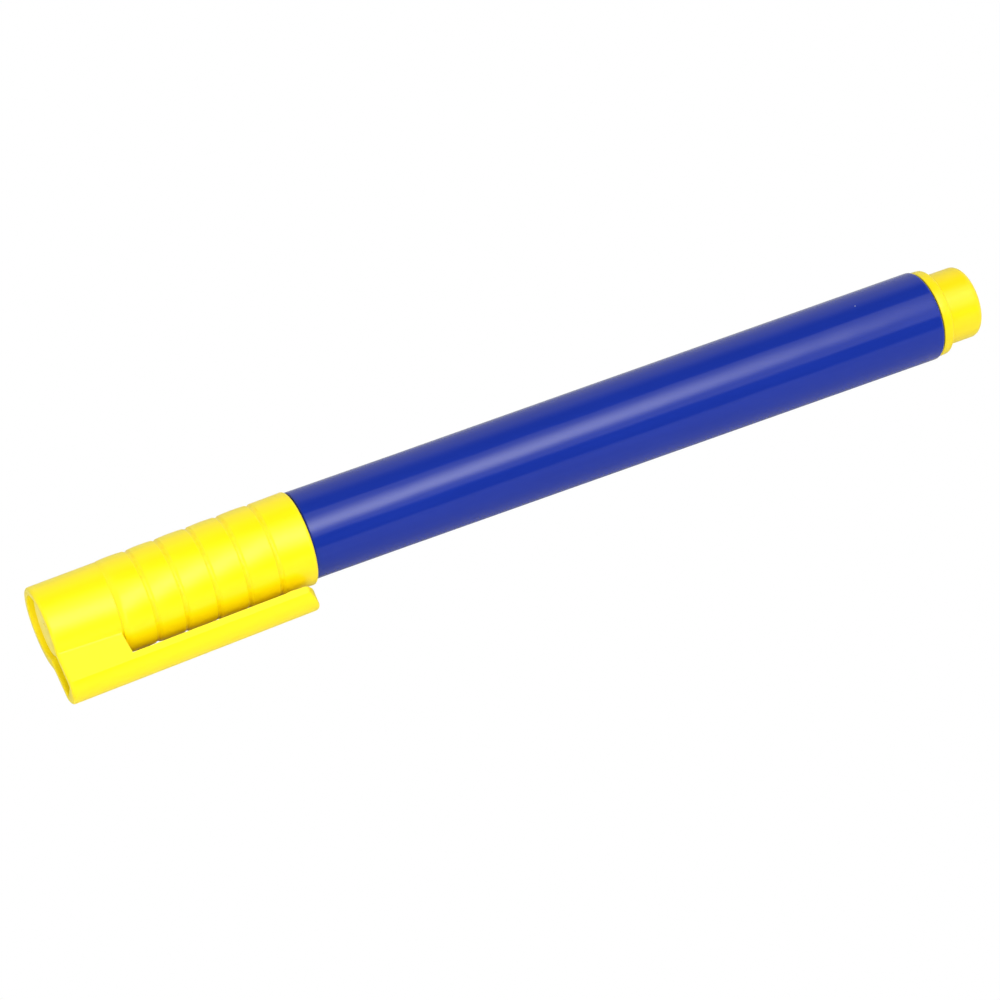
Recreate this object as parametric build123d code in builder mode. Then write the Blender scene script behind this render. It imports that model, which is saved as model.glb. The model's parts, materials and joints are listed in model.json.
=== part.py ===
from build123d import *
import os
from math import asin, atan2, cos, degrees, hypot, sin, sqrt

os.makedirs("parts", exist_ok=True)

# Counterfeit detector pen, capped and lying on a table on its barrel and its clip.
# +X runs along the pen from the cap's closed end to the rear plug, +Z is up.
# The origin is on the table under the middle of the pen.

# ---------------------------------------------------------------- driving sizes (mm)
overall_length = 137.152
end_lead = 0.152  # the closed end is cut on a slight slant, so its far side leads by this much
cap_length = 35.86  # closed end to mouth, on the pen's axis
mouth_gap = 0.16  # open line left between the mouth and the barrel
barrel_front = cap_length + mouth_gap
barrel_rear = 130.04
knob_end = overall_length - end_lead

barrel_r_front = 6.03
barrel_r_rear = 6.33  # moulding draft of about 0.2 degrees
barrel_draft_x = 52.0  # straight in front of here
bore_r_front = 4.98
bore_r_rear = 5.30
bore_front_land = 10.5
bore_rear_land = 9.2

cap_r_end = 5.69
cap_r_step = 5.885
cap_step_x = 9.25
cap_offset = 0.25  # the outside sits this much nearer the clip than the bore does
end_slant = 0.03
slot_slant = 0.13
cap_wall_r_end = 4.40  # open passage at the closed end
cap_bore_r_inner = 4.87
cap_bore_r_mouth = 5.18
cap_bore_land = 27.0  # the bore is straight from here to the mouth
rim_round = 0.38
lip_round = 0.5

# The ribbed part is turned about its own line, a little nearer the clip and half a degree off the bore.
rib_offset_a, rib_offset_b = 0.60, 0.19  # offset at the step and at the mouth
groove_x = [13.6, 17.6, 22.0, 26.3, 30.75]
band_edges_r = [(9.95, 6.29), (13.6, 6.28), (17.6, 6.32), (22.0, 6.345), (26.3, 6.37), (30.75, 6.40), (35.86, 6.44)]
groove_half = 0.38
groove_depth = 0.15
band_crown = 0.06

clip_half_width = 3.17
clip_root_end = cap_step_x  # the slot between clip and cap starts here
clip_tip_side = 33.5
clip_tip_middle = 34.7
tip_round = 0.3
bump_x, bump_height = 31.6, 0.38
clip_section_a = 0.0  # stations of the two clip sections, along the pen
clip_section_b = 36.0
ridge_r_a, ridge_r_b = 9.23, 8.59  # edge between the flat sides and the crown
apex_r_a, apex_r_b = 10.98, 10.11  # top of the crown
inner_r_a, inner_r_b = 8.36, 7.62  # clip face towards the cap
root_blend_near, root_blend_far = 0.4, 1.8  # where the clip root grows out of the cap, top side and under side
pocket_half = 2.12
pocket_r = 9.35
pocket_depth = 8.1

neck_r = 5.10
neck_front = 27.6
bead_x, bead_r = 32.0, 5.155
seal_land_r = 3.70
seal_land_a, seal_land_b = 20.6, 23.6
nose_x, nose_r = 18.0, 2.95
spigot_end = 45.6
nib_r = 2.0
nib_tip = 12.6
nib_rear = 38.0

cup_x = 0.7
cup_r = 4.32
cup_r_skirt = 4.30
cup_mouth = 23.4
cup_bore_r = 3.76
cup_floor = 0.85

reservoir_front, reservoir_rear = 30.2, 121.3
reservoir_r = 4.10
film_r = 4.24

plug_flange_x = barrel_rear + 0.16
plug_flange_r = 6.12
plug_shoulder_x = 131.8
knob_r = 5.09
knob_edge = 0.95
plug_bore_r = 4.05
plug_front = 121.5

# ---------------------------------------------------------------- where the pen lies
# The clip's lower ridge and the last band of the cap touch the table, which sets how far the pen is rolled.
rest_r, rest_offset = 6.456, 0.303  # the crown of that band and its offset
clip_angle = 0.38
for _ in range(40):
    table_r = rest_r + rest_offset * sin(clip_angle)  # height of the pen's axis over the table
    clip_angle = asin(table_r / hypot(ridge_r_a, clip_half_width)) - atan2(clip_half_width, ridge_r_a)
crown_r = ((apex_r_a - ridge_r_a) ** 2 + clip_half_width**2) / (2 * (apex_r_a - ridge_r_a))
clip_reach = (apex_r_a - 0.017 - crown_r) * cos(clip_angle) + crown_r  # furthest the clip goes towards -Y
axis_y = (clip_reach - barrel_r_rear) / 2  # puts the origin under the middle of the width
axis_z = table_r
end_x = -overall_length / 2 + end_lead  # where the cap's closed end crosses the pen's axis

ca, sa = cos(clip_angle), sin(clip_angle)
to_clip = Vector(0, -ca, -sa)
across = Vector(0, sa, -ca)


def on_axis(x):
    return Vector(end_x + x, axis_y, axis_z)


# x along the pen, y out towards the clip
side = Plane(origin=on_axis(0), x_dir=(1, 0, 0), z_dir=tuple(across))
# The same, turned so that seams fall under the pen
turned = Plane(origin=on_axis(0), x_dir=(1, 0, 0), z_dir=(0, 1, 0))
pen_axis = Axis(on_axis(0), (1, 0, 0))
# The cap's plain outside, and its ribbed outside
plain = Plane(origin=on_axis(0) + to_clip * cap_offset, x_dir=(1, 0, 0), z_dir=tuple(across))
plain_axis = Axis(plain.origin, (1, 0, 0))
rib_tilt = (rib_offset_b - rib_offset_a) / (cap_length - cap_step_x)
rib_dir = Vector(1, 0, 0) + to_clip * rib_tilt
ribbed = Plane(
    origin=on_axis(0) + to_clip * (rib_offset_a - rib_tilt * cap_step_x), x_dir=tuple(rib_dir), z_dir=tuple(across)
)
ribbed_axis = Axis(ribbed.origin, tuple(rib_dir))


def station(x):
    """Square to the pen at x, with local x out towards the clip."""
    return Plane(origin=on_axis(x), x_dir=tuple(to_clip), z_dir=(1, 0, 0))


def lerp(a, b, t):
    return a + (b - a) * t


def clip_section(x, inner):
    t = (x - clip_section_a) / (clip_section_b - clip_section_a)
    ridge, apex = lerp(ridge_r_a, ridge_r_b, t), lerp(apex_r_a, apex_r_b, t)
    with BuildSketch(station(x)) as s:
        with BuildLine():
            Line((inner, -clip_half_width), (ridge, -clip_half_width))
            ThreePointArc((ridge, -clip_half_width), (apex, 0), (ridge, clip_half_width))
            Line((ridge, clip_half_width), (inner, clip_half_width))
            Line((inner, clip_half_width), (inner, -clip_half_width))
        make_face()
    return s.sketch


def clip_inner(x):
    return lerp(inner_r_a, inner_r_b, (x - clip_section_a) / (clip_section_b - clip_section_a))


# ---------------------------------------------------------------- cap shell
root_sections = [clip_section(-0.6, 2.6), clip_section(clip_root_end, 2.6)]
with BuildPart() as cap_shell:
    add(root_sections)
    loft(ruled=True)
    # the end of the root leans towards the clip's tip
    with BuildSketch(side):
        with BuildLine():
            lean = clip_inner(clip_root_end)
            Polyline(
                (clip_root_end, lean),
                (clip_root_end - slot_slant * (lean - 4.6), 4.6),
                (clip_root_end - slot_slant * (lean - 4.6), 2.0),
                (clip_root_end + 1.0, 2.0),
                (clip_root_end + 1.0, lean),
                close=True,
            )
        make_face()
    extrude(amount=4.0, both=True, mode=Mode.SUBTRACT)
    # plain end of the cap
    with BuildSketch(plain):
        with BuildLine():
            Polyline((-0.6, 0), (-0.6, cap_r_end - 0.012), (clip_root_end, cap_r_step), (clip_root_end, 0), close=True)
        make_face()
    revolve(axis=plain_axis)
    # the root grows out of the cap
    corners = (
        cap_shell.edges()
        .filter_by(lambda e: 8.4 < e.length < 10.2)
        .filter_by(lambda e: 4.0 < (e.center() - on_axis(e.center().X - end_x)).length < 6.5)
        .sort_by(Axis.Z)
    )
    fillet(corners[-1:], radius=root_blend_near)
    corners = (
        cap_shell.edges()
        .filter_by(lambda e: 8.4 < e.length < 10.2)
        .filter_by(lambda e: 4.0 < (e.center() - on_axis(e.center().X - end_x)).length < 6.5)
        .sort_by(Axis.Z)
    )
    fillet(corners[:1], radius=root_blend_far)
    # ribbed part: crowned bands between narrow grooves
    with BuildSketch(ribbed):
        with BuildLine():
            first = (clip_root_end - 0.15, cap_r_step + 0.05)
            last = band_edges_r[0]
            Line((clip_root_end - 0.15, 0), first)
            ThreePointArc(first, (clip_root_end + 0.22, last[1] - 0.11), last)
            for i, gx in enumerate(groove_x):
                r = band_edges_r[i + 1][1]
                a, b = (gx - groove_half, r), (gx + groove_half, r + 0.005)
                mid = ((last[0] + a[0]) / 2, (last[1] + a[1]) / 2 + band_crown)
                ThreePointArc(last, mid, a)
                ThreePointArc(a, (gx + 0.03, r - groove_depth), b)
                last = b
            lip = (cap_length - lip_round, band_edges_r[-1][1])
            Line(last, lip)
            ThreePointArc(lip, (cap_length - 0.13, lip[1] - 0.09), (cap_length, lip[1] - 0.30))
            Line((cap_length, lip[1] - 0.30), (cap_length, 0))
            Line((cap_length, 0), (clip_root_end - 0.15, 0))
        make_face()
    revolve(axis=ribbed_axis)
    # the closed end is cut on a slight slant
    with BuildSketch(side):
        Polygon((-end_slant * 15, -15), (end_slant * 15, 15), (-3, 15), (-3, -15), align=None)
    extrude(amount=12.0, both=True, mode=Mode.SUBTRACT)
    # bore with a snap groove and a lead-in at the mouth
    with BuildSketch(turned):
        with BuildLine():
            Polyline(
                (-1.0, 0),
                (-1.0, cap_wall_r_end),
                (clip_root_end, cap_wall_r_end),
                (clip_root_end, cap_bore_r_inner),
                (clip_root_end + 1.6, cap_bore_r_inner),
                (cap_bore_land, cap_bore_r_mouth),
                (bead_x - 0.55, cap_bore_r_mouth),
                (bead_x - 0.3, cap_bore_r_mouth + 0.07),
                (bead_x + 0.3, cap_bore_r_mouth + 0.07),
                (bead_x + 0.55, cap_bore_r_mouth),
                (cap_length - 0.35, cap_bore_r_mouth),
                (cap_length + 0.2, cap_bore_r_mouth + 0.3),
                (cap_length + 0.2, 0),
                close=True,
            )
        make_face()
    revolve(axis=pen_axis, mode=Mode.SUBTRACT)
    # the clip's root is cored out from the closed end
    with BuildSketch(station(-1.0)) as pocket:
        with Locations(((2.0 + pocket_r) / 2, 0)):
            Rectangle(pocket_r - 2.0, 2 * pocket_half)
        fillet(pocket.vertices().group_by(Axis(on_axis(0), tuple(to_clip)))[-1], radius=0.9)
    extrude(amount=pocket_depth + 1.0, mode=Mode.SUBTRACT)
    # softened rim at the closed end
    end_face = cap_shell.faces().filter_by(GeomType.PLANE).filter_by(lambda f: f.normal_at().X < -0.99).sort_by(Axis.X)[0]
    fillet(end_face.outer_wire().edges(), radius=rim_round)
    end_face = cap_shell.faces().filter_by(GeomType.PLANE).filter_by(lambda f: f.normal_at().X < -0.99).sort_by(Axis.X)[0]
    fillet(end_face.inner_wires()[0].edges(), radius=0.15)
cap_shell.part.label = "cap_shell"

# ---------------------------------------------------------------- clip arm
arm_sections = [clip_section(clip_root_end, clip_inner(clip_root_end)), clip_section(35.6, clip_inner(35.6))]
with BuildPart() as pocket_clip:
    add(arm_sections)
    loft(ruled=True)
    # tip rounded in plan
    plan = Plane(origin=on_axis(0) + to_clip * 14.0, x_dir=(1, 0, 0), z_dir=tuple(to_clip))
    with BuildSketch(plan):
        with BuildLine():
            ThreePointArc((clip_tip_side, -clip_half_width), (clip_tip_middle, 0), (clip_tip_side, clip_half_width))
            Polyline(
                (clip_tip_side, clip_half_width),
                (clip_tip_side, 5.0),
                (38.0, 5.0),
                (38.0, -5.0),
                (clip_tip_side, -5.0),
                (clip_tip_side, -clip_half_width),
            )
        make_face()
    extrude(amount=-12.0, mode=Mode.SUBTRACT)
    # gripping bump under the tip
    with BuildSketch(side):
        with BuildLine():
            bump = [(bump_x + d, clip_inner(bump_x + d)) for d in (-1.5, 1.5)]
            ThreePointArc(bump[0], (bump_x, clip_inner(bump_x) - bump_height), bump[1])
            Polyline(bump[1], (bump_x + 1.5, 8.4), (bump_x - 1.5, 8.4), bump[0])
        make_face()
    extrude(amount=2.2, both=True)
    # softened edges all round the tip
    ends = pocket_clip.edges().filter_by(lambda e: e.center().X - end_x > clip_tip_side - 0.05)
    fillet(ends, radius=tip_round)
pocket_clip.part.label = "pocket_clip"

# ---------------------------------------------------------------- inner seal cup
with BuildPart() as inner_seal_cup:
    with BuildSketch(turned):
        with BuildLine():
            Polyline(
                (cup_x, 0),
                (cup_x, cup_r - 0.3),
                (cup_x + 0.3, cup_r),
                (clip_root_end, cup_r),
                (clip_root_end, cap_bore_r_inner),
                (clip_root_end + 1.3, cap_bore_r_inner),
                (clip_root_end + 1.3, cup_r_skirt),
                (cup_mouth, cup_r_skirt),
                (cup_mouth, cup_bore_r + 0.15),
                (cup_mouth - 0.25, cup_bore_r),
                (seal_land_a - 0.6, cup_bore_r),
                (cup_x + cup_floor + 0.5, 3.45),
                (cup_x + cup_floor, 2.95),
                (cup_x + cup_floor, 0),
                close=True,
            )
        make_face()
    revolve(axis=pen_axis)
    # air passages through the flange
    with BuildSketch(station(clip_root_end - 0.1)):
        with PolarLocations(5.0, 4, start_angle=45):
            Rectangle(1.3, 1.6)
    extrude(amount=1.6, mode=Mode.SUBTRACT)
    # moulding gate mark in the middle of the closed end
    with BuildSketch(station(cup_x - 0.14)):
        Circle(0.42)
    extrude(amount=0.3)
inner_seal_cup.part.label = "inner_seal_cup"

# ---------------------------------------------------------------- barrel
with BuildPart() as barrel:
    with BuildSketch(turned):
        with BuildLine():
            Line((barrel_front, bore_r_front), (barrel_front, barrel_r_front - 0.12))
            Line((barrel_front, barrel_r_front - 0.12), (barrel_front + 0.12, barrel_r_front))
            Line((barrel_front + 0.12, barrel_r_front), (barrel_draft_x, barrel_r_front + 0.01))
            Line((barrel_draft_x, barrel_r_front + 0.01), (barrel_rear - 0.4, barrel_r_rear))
            ThreePointArc(
                (barrel_rear - 0.4, barrel_r_rear),
                (barrel_rear - 0.12, barrel_r_rear - 0.09),
                (barrel_rear, barrel_r_rear - 0.28),
            )
            Polyline(
                (barrel_rear, barrel_r_rear - 0.28),
                (barrel_rear, bore_r_rear),
                (barrel_rear - bore_rear_land, bore_r_rear),
                (barrel_rear - bore_rear_land - 0.3, bore_r_rear - 0.05),
                (barrel_front + bore_front_land, bore_r_front),
                (barrel_front, bore_r_front),
            )
        make_face()
    revolve(axis=pen_axis)
    # long ribs that hold the reservoir in the middle of the bore
    with BuildSketch(station(barrel_front + bore_front_land)) as ribs:
        with PolarLocations((film_r + 5.55) / 2, 4, start_angle=45):
            Rectangle(5.55 - film_r, 0.55)
    extrude(amount=barrel_rear - bore_rear_land - 1.2 - barrel_front - bore_front_land)
barrel.part.label = "barrel"

# ---------------------------------------------------------------- front section
with BuildPart() as front_section:
    with BuildSketch(turned):
        with BuildLine():
            Line((nose_x, nib_r), (nose_x, nose_r - 0.35))
            ThreePointArc((nose_x, nose_r - 0.35), (nose_x + 0.1, nose_r - 0.1), (nose_x + 0.35, nose_r))
            Polyline(
                (nose_x + 0.35, nose_r),
                (seal_land_a, seal_land_r),
                (seal_land_b, seal_land_r),
                (neck_front - 1.0, neck_r - 0.55),
                (neck_front, neck_r),
                (bead_x - 0.5, neck_r),
                (bead_x - 0.25, bead_r),
                (bead_x + 0.25, bead_r),
                (bead_x + 0.5, neck_r),
                (barrel_front, neck_r),
                (barrel_front, bore_r_front),
                (spigot_end - 0.5, bore_r_front),
                (spigot_end, bore_r_front - 0.3),
                (spigot_end, film_r + 0.06),
                (reservoir_front - 0.2, film_r + 0.06),
                (reservoir_front - 0.9, film_r - 0.6),
                (reservoir_front - 0.9, nib_r),
                (nose_x, nib_r),
            )
        make_face()
    revolve(axis=pen_axis)
    # air channels beside the nib
    with BuildSketch(station(nose_x - 0.1)):
        with PolarLocations(nib_r, 4, start_angle=0):
            Rectangle(0.7, 0.5)
    extrude(amount=11.6, mode=Mode.SUBTRACT)
front_section.part.label = "front_section"

# ---------------------------------------------------------------- nib
with BuildPart() as nib:
    with BuildSketch(turned):
        with BuildLine():
            Line((nib_tip, 0), (nib_tip, 0.25))
            ThreePointArc((nib_tip, 0.25), (nib_tip + 0.42, 1.02), (nib_tip + 1.25, 1.42))
            ThreePointArc((nib_tip + 1.25, 1.42), (nib_tip + 2.5, 1.84), (nib_tip + 3.6, nib_r))
            Polyline(
                (nib_tip + 3.6, nib_r),
                (nib_rear - 1.6, nib_r),
                (nib_rear, 0.9),
                (nib_rear, 0),
                (nib_tip, 0),
            )
        make_face()
    revolve(axis=pen_axis)
nib.part.label = "nib"

# ---------------------------------------------------------------- ink reservoir
with BuildPart() as ink_reservoir:
    with BuildSketch(turned):
        with BuildLine():
            Polyline(
                (reservoir_front, nib_r),
                (reservoir_front, reservoir_r),
                (reservoir_rear, reservoir_r),
                (reservoir_rear, 0),
                (nib_rear + 0.3, 0),
                (nib_rear + 0.3, 0.9),
                (nib_rear - 1.3, nib_r),
                close=True,
            )
        make_face()
    revolve(axis=pen_axis)
ink_reservoir.part.label = "ink_reservoir"

# ---------------------------------------------------------------- reservoir film
with BuildPart() as reservoir_film:
    with BuildSketch(turned):
        with BuildLine():
            Polyline(
                (reservoir_front, reservoir_r),
                (reservoir_front, film_r),
                (reservoir_rear, film_r),
                (reservoir_rear, reservoir_r),
                close=True,
            )
        make_face()
    revolve(axis=pen_axis)
reservoir_film.part.label = "reservoir_film"

# ---------------------------------------------------------------- rear plug
with BuildPart() as rear_plug:
    with BuildSketch(turned):
        with BuildLine():
            Polyline(
                (plug_front, plug_bore_r),
                (plug_front, bore_r_rear - 0.3),
                (plug_front + 0.5, bore_r_rear),
                (plug_flange_x, bore_r_rear),
                (plug_flange_x, plug_flange_r - 0.09),
                (plug_flange_x + 0.1, plug_flange_r - 0.02),
            )
            ThreePointArc(
                (plug_flange_x + 0.1, plug_flange_r - 0.02),
                (plug_flange_x + 0.6, plug_flange_r),
                (plug_shoulder_x - 0.34, plug_flange_r - 0.05),
            )
            ThreePointArc(
                (plug_shoulder_x - 0.34, plug_flange_r - 0.05),
                (plug_shoulder_x - 0.18, plug_flange_r - 0.17),
                (plug_shoulder_x - 0.12, plug_flange_r - 0.36),
            )
            Line((plug_shoulder_x - 0.12, plug_flange_r - 0.36), (plug_shoulder_x - 0.06, knob_r + 0.16))
            ThreePointArc(
                (plug_shoulder_x - 0.06, knob_r + 0.16),
                (plug_shoulder_x + 0.01, knob_r + 0.045),
                (plug_shoulder_x + 0.22, knob_r),
            )
            Line((plug_shoulder_x + 0.22, knob_r), (knob_end - knob_edge, knob_r))
            ThreePointArc(
                (knob_end - knob_edge, knob_r),
                (knob_end - knob_edge * (1 - sqrt(0.5)), knob_r - knob_edge * (1 - sqrt(0.5))),
                (knob_end, knob_r - knob_edge),
            )
            Polyline(
                (knob_end, knob_r - knob_edge),
                (knob_end, 0),
                (knob_end - 1.2, 0),
                (knob_end - 1.2, plug_bore_r - 0.5),
                (knob_end - 1.7, plug_bore_r),
                (plug_front, plug_bore_r),
            )
        make_face()
    revolve(axis=pen_axis)
    # short ribs inside that stop the reservoir
    with BuildSketch(station(plug_front)):
        with PolarLocations(3.7, 4, start_angle=45):
            Rectangle(1.4, 0.8)
    extrude(amount=7.0)
rear_plug.part.label = "rear_plug"

for piece in (
    cap_shell,
    pocket_clip,
    inner_seal_cup,
    barrel,
    front_section,
    nib,
    ink_reservoir,
    reservoir_film,
    rear_plug,
):
    export_step(piece.part, f"parts/{piece.part.label}.step")
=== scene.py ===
import json
import math

import bmesh
import bpy
from mathutils import Matrix, Vector


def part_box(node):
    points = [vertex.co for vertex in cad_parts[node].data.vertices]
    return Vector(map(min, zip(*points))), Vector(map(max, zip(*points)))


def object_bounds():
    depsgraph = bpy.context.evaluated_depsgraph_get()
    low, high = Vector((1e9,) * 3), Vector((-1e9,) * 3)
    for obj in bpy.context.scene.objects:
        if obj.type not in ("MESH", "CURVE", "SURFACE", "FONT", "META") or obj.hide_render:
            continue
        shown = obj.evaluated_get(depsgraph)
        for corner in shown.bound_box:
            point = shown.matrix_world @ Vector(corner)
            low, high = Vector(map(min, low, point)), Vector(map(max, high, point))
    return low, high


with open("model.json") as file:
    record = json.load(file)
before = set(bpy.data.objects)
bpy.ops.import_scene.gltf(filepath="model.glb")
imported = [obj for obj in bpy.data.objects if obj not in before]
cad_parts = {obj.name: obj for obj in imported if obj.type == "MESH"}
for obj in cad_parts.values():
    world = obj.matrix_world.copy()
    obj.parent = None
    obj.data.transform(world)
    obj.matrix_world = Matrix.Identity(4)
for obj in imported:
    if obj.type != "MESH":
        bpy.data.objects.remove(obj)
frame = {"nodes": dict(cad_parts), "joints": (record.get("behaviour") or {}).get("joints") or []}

cad_lo, cad_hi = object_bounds()
nodes = frame["nodes"]
scene = bpy.context.scene

# ------------------------------------------------------------------ where the pen lies
b_lo, b_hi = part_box("barrel")
c_lo, c_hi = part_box("cap_shell")
axis_y = (b_lo.y + b_hi.y) / 2
axis_z = (b_lo.z + b_hi.z) / 2
MM = 0.001
end_x = c_lo.x + 0.152 * MM  # where the cap's slightly slanted closed end crosses the pen's axis

hinge = [j for j in frame["joints"] if j["name"] == "clip_flex"][0]
ca, sa = -hinge["axis"][2], hinge["axis"][1]  # how far the pen is rolled onto its clip
to_clip = Vector((0, -ca, -sa))
across = Vector((0, sa, -ca))


def at(x, rho=0.0, tau=0.0):
    """A point of the pen in metres: x mm from the closed end, rho out towards the clip, tau across it."""
    return Vector((end_x + x * MM, axis_y, axis_z)) + to_clip * (rho * MM) + across * (tau * MM)


# ------------------------------------------------------------------ node helpers
def new_material(name):
    m = bpy.data.materials.new(name)
    m.use_nodes = True
    nt = m.node_tree
    nt.nodes.clear()
    out = nt.nodes.new("ShaderNodeOutputMaterial")
    bsdf = nt.nodes.new("ShaderNodeBsdfPrincipled")
    nt.links.new(bsdf.outputs[0], out.inputs[0])
    return m, nt, bsdf


def put(nt, socket, value):
    if isinstance(value, bpy.types.NodeSocket):
        nt.links.new(value, socket)
    else:
        socket.default_value = value


def mth(nt, op, a, b=0.0, c=None, clamp=False):
    n = nt.nodes.new("ShaderNodeMath")
    n.operation = op
    n.use_clamp = clamp
    put(nt, n.inputs[0], a)
    put(nt, n.inputs[1], b)
    if c is not None:
        put(nt, n.inputs[2], c)
    return n.outputs[0]


def ramp(nt, value, lo, hi, out_lo=0.0, out_hi=1.0, smooth=True):
    n = nt.nodes.new("ShaderNodeMapRange")
    n.interpolation_type = "SMOOTHSTEP" if smooth else "LINEAR"
    n.clamp = True
    put(nt, n.inputs["Value"], value)
    put(nt, n.inputs["From Min"], lo)
    put(nt, n.inputs["From Max"], hi)
    put(nt, n.inputs["To Min"], out_lo)
    put(nt, n.inputs["To Max"], out_hi)
    return n.outputs["Result"]


def coords(nt, scale=(1, 1, 1), offset=(0, 0, 0)):
    """Object coordinates of the piece in mm about the pen's closed end."""
    t = nt.nodes.new("ShaderNodeTexCoord")
    v = nt.nodes.new("ShaderNodeMapping")
    v.vector_type = "POINT"
    v.inputs["Scale"].default_value = [1000.0 * s for s in scale]
    v.inputs["Location"].default_value = offset
    nt.links.new(t.outputs["Object"], v.inputs["Vector"])
    return v.outputs[0]


def noise(nt, vec, scale, detail=2.0, rough=0.5, distortion=0.0):
    n = nt.nodes.new("ShaderNodeTexNoise")
    n.noise_dimensions = "3D"
    nt.links.new(vec, n.inputs["Vector"])
    n.inputs["Scale"].default_value = scale
    n.inputs["Detail"].default_value = detail
    n.inputs["Roughness"].default_value = rough
    n.inputs["Distortion"].default_value = distortion
    return n.outputs["Fac"]


def voronoi(nt, vec, scale, feature="F1", randomness=1.0):
    n = nt.nodes.new("ShaderNodeTexVoronoi")
    n.feature = feature
    nt.links.new(vec, n.inputs["Vector"])
    n.inputs["Scale"].default_value = scale
    n.inputs["Randomness"].default_value = randomness
    return n


def mix_color(nt, fac, a, b, blend="MIX"):
    n = nt.nodes.new("ShaderNodeMix")
    n.data_type = "RGBA"
    n.blend_type = blend
    n.clamp_factor = True
    put(nt, n.inputs["Factor"], fac)
    put(nt, n.inputs["A"], a if isinstance(a, bpy.types.NodeSocket) else (*a, 1.0))
    put(nt, n.inputs["B"], b if isinstance(b, bpy.types.NodeSocket) else (*b, 1.0))
    return n.outputs["Result"]


def bump(nt, height, distance, strength=1.0, normal=None):
    n = nt.nodes.new("ShaderNodeBump")
    n.inputs["Strength"].default_value = strength
    n.inputs["Distance"].default_value = distance
    nt.links.new(height, n.inputs["Height"])
    if normal is not None:
        nt.links.new(normal, n.inputs["Normal"])
    return n.outputs["Normal"]


# ------------------------------------------------------------------ materials
def moulded_plastic(name, base, deep, rough, rough_spread, spec, coat=0.0, coat_rough=0.1, wave=0.02, grain=0.0015, speck=None, speck_amount=0.0, grooves=(), groove_painted_shade=None):
    """Moulded plastic: slow colour drift, flow streaks along the pen, sink waviness, fine grain, a few dust specks and,
    where grooves are given, painted shade along the grooves.
    """
    m, nt, bsdf = new_material(name)
    drift = noise(nt, coords(nt, (0.05, 0.12, 0.12)), 1.0, 3.0, 0.55)
    flow = noise(nt, coords(nt, (0.035, 1.1, 1.1), (3.0, 1.0, 7.0)), 1.0, 4.0, 0.6)
    mixed = mth(nt, "ADD", mth(nt, "MULTIPLY", drift, 0.6), mth(nt, "MULTIPLY", flow, 0.4))
    colour = mix_color(nt, ramp(nt, mixed, 0.36, 0.64), base, deep)
    if speck is not None:
        v = voronoi(nt, coords(nt, (1, 1, 1), (11.0, 5.0, 3.0)), 0.55)
        dot = ramp(nt, v.outputs["Distance"], 0.035, 0.060, 1.0, 0.0)
        pick = ramp(nt, v.outputs["Color"], 1.0 - speck_amount, 1.0 - speck_amount + 0.01, 0.0, 1.0)
        colour = mix_color(nt, mth(nt, "MULTIPLY", dot, pick), colour, speck)
    # painted shade: an amber darkening in uneven patches along each groove, standing in for the shade that falls in the
    # groove recesses
    if grooves:
        along = nt.nodes.new("ShaderNodeSeparateXYZ")
        nt.links.new(coords(nt), along.inputs[0])
        near = [mth(nt, "ABSOLUTE", mth(nt, "SUBTRACT", along.outputs[0], end_x * 1000 + g)) for g in grooves]
        least = near[0]
        for g in near[1:]:
            least = mth(nt, "MINIMUM", least, g)
        groove_shade_patches = ramp(nt, noise(nt, coords(nt, (1, 1, 1), (2.0, 9.0, 4.0)), 0.9, 3.0, 0.6), 0.35, 0.65, 0.10, 0.75)
        colour = mix_color(nt, mth(nt, "MULTIPLY", ramp(nt, least, 0.16, 0.36, 1.0, 0.0), groove_shade_patches), colour, groove_painted_shade)
    nt.links.new(colour, bsdf.inputs["Base Color"])
    r = mth(nt, "ADD", rough, mth(nt, "MULTIPLY", mth(nt, "SUBTRACT", flow, 0.5), rough_spread))
    nt.links.new(r, bsdf.inputs["Roughness"])
    bsdf.inputs["Specular IOR Level"].default_value = spec
    bsdf.inputs["IOR"].default_value = 1.5
    bsdf.inputs["Coat Weight"].default_value = coat
    bsdf.inputs["Coat Roughness"].default_value = coat_rough
    sink = noise(nt, coords(nt, (0.06, 0.16, 0.16), (5.0, 0.0, 2.0)), 1.0, 2.0, 0.5)
    fine = noise(nt, coords(nt, (0.35, 6.0, 6.0)), 1.0, 3.0, 0.6)
    orange = noise(nt, coords(nt), 3.5, 2.0, 0.5)
    n1 = bump(nt, sink, wave * MM, 1.0)
    n2 = bump(nt, fine, grain * MM, 1.0, n1)
    n3 = bump(nt, orange, grain * 0.8 * MM, 1.0, n2)
    nt.links.new(n3, bsdf.inputs["Normal"])
    return m


blue = moulded_plastic("barrel_blue_gloss", (0.0085, 0.0275, 0.285), (0.0096, 0.0300, 0.300), 0.10, 0.08, 0.32, wave=0.07, grain=0.0012, speck=(0.5, 0.55, 0.7), speck_amount=0.10)
# the cap's material carries painted shade along its five grooves
yellow = moulded_plastic("cap_yellow_satin", (0.985, 0.812, 0.0018), (0.985, 0.785, 0.0010), 0.30, 0.08, 0.36, wave=0.05, grain=0.0015, grooves=(13.6, 17.6, 22.0, 26.3, 30.75), groove_painted_shade=(0.93, 0.68, 0.0010))
clip_yellow = moulded_plastic("clip_yellow_satin", (0.985, 0.812, 0.0018), (0.985, 0.785, 0.0010), 0.30, 0.08, 0.36, wave=0.05, grain=0.0015)
plug_yellow = moulded_plastic("plug_yellow_satin", (0.91, 0.735, 0.0030), (0.90, 0.705, 0.0020), 0.29, 0.08, 0.36, wave=0.05, grain=0.0015)
cream = moulded_plastic("seal_cream", (1.0, 0.90, 0.22), (0.98, 0.84, 0.16), 0.38, 0.1, 0.4, wave=0.02, grain=0.002)
white_pp = moulded_plastic("front_blue", (0.0085, 0.0275, 0.280), (0.0096, 0.0300, 0.292), 0.16, 0.08, 0.32, wave=0.02, grain=0.0012)


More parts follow.
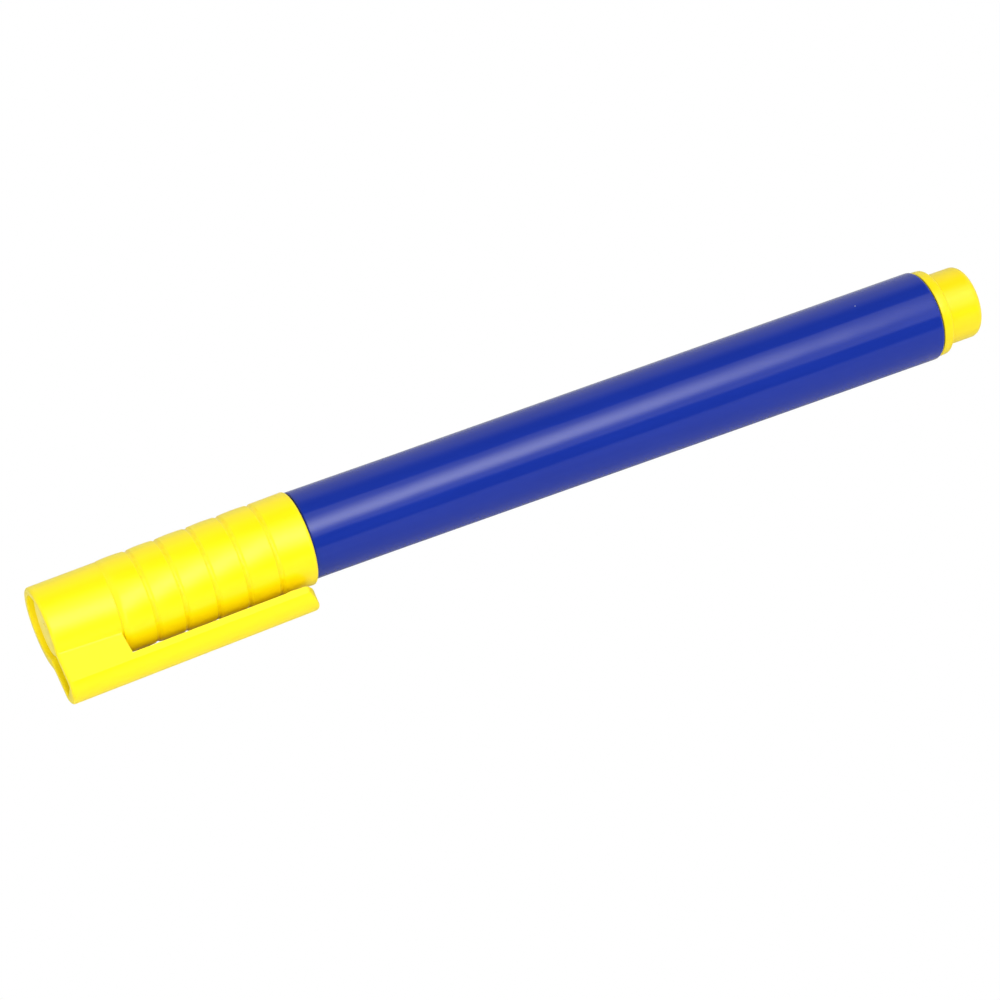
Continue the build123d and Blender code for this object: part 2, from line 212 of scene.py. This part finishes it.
def felt(name, base, deep, tip=None, tip_x=0.0, along=0.08):
    """Bonded fibre: fine lengthwise strands with a dry, open surface."""
    m, nt, bsdf = new_material(name)
    strands = noise(nt, coords(nt, (along, 3.2, 3.2)), 2.2, 4.0, 0.7)
    pores = noise(nt, coords(nt), 5.0, 3.0, 0.7)
    colour = mix_color(nt, ramp(nt, strands, 0.35, 0.65), base, deep)
    if tip is not None:
        sep = nt.nodes.new("ShaderNodeSeparateXYZ")
        nt.links.new(coords(nt), sep.inputs[0])
        stain = ramp(nt, mth(nt, "ADD", sep.outputs[0], mth(nt, "MULTIPLY", pores, 1.2)), tip_x, tip_x + 3.5, 1.0, 0.0)
        colour = mix_color(nt, stain, colour, tip)
    nt.links.new(colour, bsdf.inputs["Base Color"])
    bsdf.inputs["Roughness"].default_value = 0.85
    bsdf.inputs["Specular IOR Level"].default_value = 0.2
    bsdf.inputs["Sheen Weight"].default_value = 0.25
    bsdf.inputs["Sheen Roughness"].default_value = 0.5
    n1 = bump(nt, strands, 0.05 * MM, 1.0)
    nt.links.new(bump(nt, pores, 0.03 * MM, 1.0, n1), bsdf.inputs["Normal"])
    return m


nib_felt = felt("nib_felt", (0.50, 0.33, 0.14), (0.36, 0.21, 0.08), tip=(0.16, 0.075, 0.022), tip_x=end_x * 1000 + 11.5)
fibre = felt("reservoir_fibre", (0.55, 0.36, 0.16), (0.42, 0.25, 0.10))


def film(name):
    m, nt, bsdf = new_material(name)
    wrinkle = noise(nt, coords(nt, (0.05, 0.5, 0.5)), 2.0, 3.0, 0.6)
    colour = mix_color(nt, ramp(nt, wrinkle, 0.4, 0.6), (0.86, 0.86, 0.82), (0.78, 0.78, 0.75))
    nt.links.new(colour, bsdf.inputs["Base Color"])
    bsdf.inputs["Roughness"].default_value = 0.12
    bsdf.inputs["Transmission Weight"].default_value = 0.6
    bsdf.inputs["IOR"].default_value = 1.45
    nt.links.new(bump(nt, wrinkle, 0.02 * MM, 1.0), bsdf.inputs["Normal"])
    return m


clear_film = film("reservoir_film_clear")


def paint(node, material):
    o = nodes[node]
    o.data.materials.clear()
    o.data.materials.append(material)


for node, material in (
    ("barrel", blue),
    ("front_section", white_pp),
    ("cap_shell", yellow),
    ("pocket_clip", clip_yellow),
    ("inner_seal_cup", cream),
    ("rear_plug", plug_yellow),
    ("nib", nib_felt),
    ("ink_reservoir", fibre),
    ("reservoir_film", clear_film),
):
    paint(node, material)

# ------------------------------------------------------------------ camera at the photograph's viewing angle
view_e = math.radians(72.2) - math.atan2(sa, ca)
ce, se = math.cos(view_e), math.sin(view_e)


def from_pen(v):
    """From axes along the pen, away from the camera and up in the picture, to the row frame."""
    return Vector((v[0], v[1] * ce + v[2] * se, -v[1] * se + v[2] * ce))


cam_data = bpy.data.cameras.new("camera")
cam = bpy.data.objects.new("camera", cam_data)
scene.collection.objects.link(cam)
scene.camera = cam
cam_data.sensor_width = 36.0
cam_data.sensor_fit = "HORIZONTAL"
cam_data.lens = 120.48
cam_data.clip_start, cam_data.clip_end = 0.01, 50.0
right = from_pen((0.9013, -0.2761, -0.3338)).normalized()
fwd = from_pen((0.2895, 0.9571, -0.0100))
fwd = (fwd - right * fwd.dot(right)).normalized()
up = right.cross(fwd)
fwd = (fwd + up * 0.00017 - right * 0.00006).normalized()
right = (right - fwd * right.dot(fwd)).normalized()
up = right.cross(fwd)
where = at(0) + from_pen((-0.06542, -0.42619, 0.0))
cam.matrix_world = Matrix.Translation(where) @ Matrix((right, up, -fwd)).transposed().to_4x4()

# ------------------------------------------------------------------ floor
bm = bmesh.new()
R = 6.0
ring = [bm.verts.new((R * math.cos(t * math.tau / 96), R * math.sin(t * math.tau / 96), 0.0)) for t in range(96)]
bm.faces.new(ring)
me = bpy.data.meshes.new("floor")
bm.to_mesh(me)
bm.free()
floor = bpy.data.objects.new("floor", me)
scene.collection.objects.link(floor)
floor.location.z = cad_lo.z - 0.00002
m, nt, bsdf = new_material("floor_paper")
tone = noise(nt, coords(nt, (0.004, 0.004, 0.004)), 1.0, 3.0, 0.5)
nt.links.new(mix_color(nt, tone, (0.80, 0.80, 0.80), (0.84, 0.84, 0.84)), bsdf.inputs["Base Color"])
bsdf.inputs["Roughness"].default_value = 0.9
bsdf.inputs["Specular IOR Level"].default_value = 0.1
seen = nt.nodes.new("ShaderNodeLightPath")
paper = bsdf.inputs["Base Color"].links[0].from_socket
dim = mix_color(nt, seen.outputs["Is Glossy Ray"], paper, (0.55, 0.55, 0.55))
nt.links.new(dim, bsdf.inputs["Base Color"])
glow = nt.nodes.new("ShaderNodeEmission")
glow.inputs["Color"].default_value = (1, 1, 1, 1)
glow.inputs["Strength"].default_value = 1.0
both = nt.nodes.new("ShaderNodeMixShader")
nt.links.new(seen.outputs["Is Camera Ray"], both.inputs[0])
nt.links.new(bsdf.outputs[0], both.inputs[1])
nt.links.new(glow.outputs[0], both.inputs[2])
nt.links.new(both.outputs[0], nt.nodes["Material Output"].inputs[0])
me.materials.append(m)

# ------------------------------------------------------------------ soft studio light, as a dome
world = bpy.data.worlds.new("studio")
scene.world = world
world.use_nodes = True
nt = world.node_tree
nt.nodes.clear()
out = nt.nodes.new("ShaderNodeOutputWorld")
bg = nt.nodes.new("ShaderNodeBackground")
tc = nt.nodes.new("ShaderNodeTexCoord")
sep = nt.nodes.new("ShaderNodeSeparateXYZ")
nt.links.new(tc.outputs["Generated"], sep.inputs[0])
X, Y, Z = sep.outputs
tilt = mth(nt, "MULTIPLY", mth(nt, "ARCTAN2", Z, mth(nt, "MULTIPLY", Y, -1.0)), 180 / math.pi)  # 0 front, 90 up, 180 back
flat = mth(nt, "SQRT", mth(nt, "ADD", mth(nt, "MULTIPLY", Y, Y), mth(nt, "MULTIPLY", Z, Z)))
slope = mth(nt, "DIVIDE", X, mth(nt, "MAXIMUM", flat, 0.001))


def window(value, a, b, c, d):
    """0 below a, 1 from b to c, 0 above d."""
    return mth(nt, "MULTIPLY", ramp(nt, value, a, b), ramp(nt, value, c, d, 1.0, 0.0))


def times(*vs):
    r = vs[0]
    for v in vs[1:]:
        r = mth(nt, "MULTIPLY", r, v)
    return r


# the softbox's bright middle stands higher towards the rear of the pen; dark gaps beside it, dimmer walls
centre = mth(nt, "MINIMUM", mth(nt, "ADD", times(slope, 90.0), 37.1), mth(nt, "ADD", times(slope, 36.0), 51.7))
off = mth(nt, "SUBTRACT", tilt, centre)
core = times(window(off, -20, 0, 0.5, 30), window(slope, -0.5, 0.05, 0.30, 0.50))
gap_front = times(window(tilt, 2, 6, 30, 36), window(slope, -0.02, 0.10, 0.60, 0.75))
gap_back = times(window(tilt, 95, 99, 118, 150), window(slope, -0.02, 0.10, 0.60, 0.75))
light = mth(nt, "ADD", 0.62, ramp(nt, tilt, 32, 38, 0.0, 0.53))
light = mth(nt, "SUBTRACT", light, ramp(nt, tilt, 97, 106, 0.0, 0.42))
light = mth(nt, "ADD", light, times(core, 6.0))
light = times(light, mth(nt, "SUBTRACT", 1.0, times(gap_front, 0.97)))
light = times(light, mth(nt, "SUBTRACT", 1.0, times(gap_back, 0.95)))
lp = nt.nodes.new("ShaderNodeLightPath")
shown = mth(nt, "ADD", times(light, mth(nt, "SUBTRACT", 1.0, lp.outputs["Is Camera Ray"])), times(0.96, lp.outputs["Is Camera Ray"]))
bg.inputs["Color"].default_value = (1, 1, 1, 1)
nt.links.new(shown, bg.inputs["Strength"])
nt.links.new(bg.outputs[0], out.inputs[0])

scene.view_settings.view_transform = "Standard"
scene.view_settings.look = "None"
scene.view_settings.exposure = 0.0
scene.view_settings.gamma = 1.0
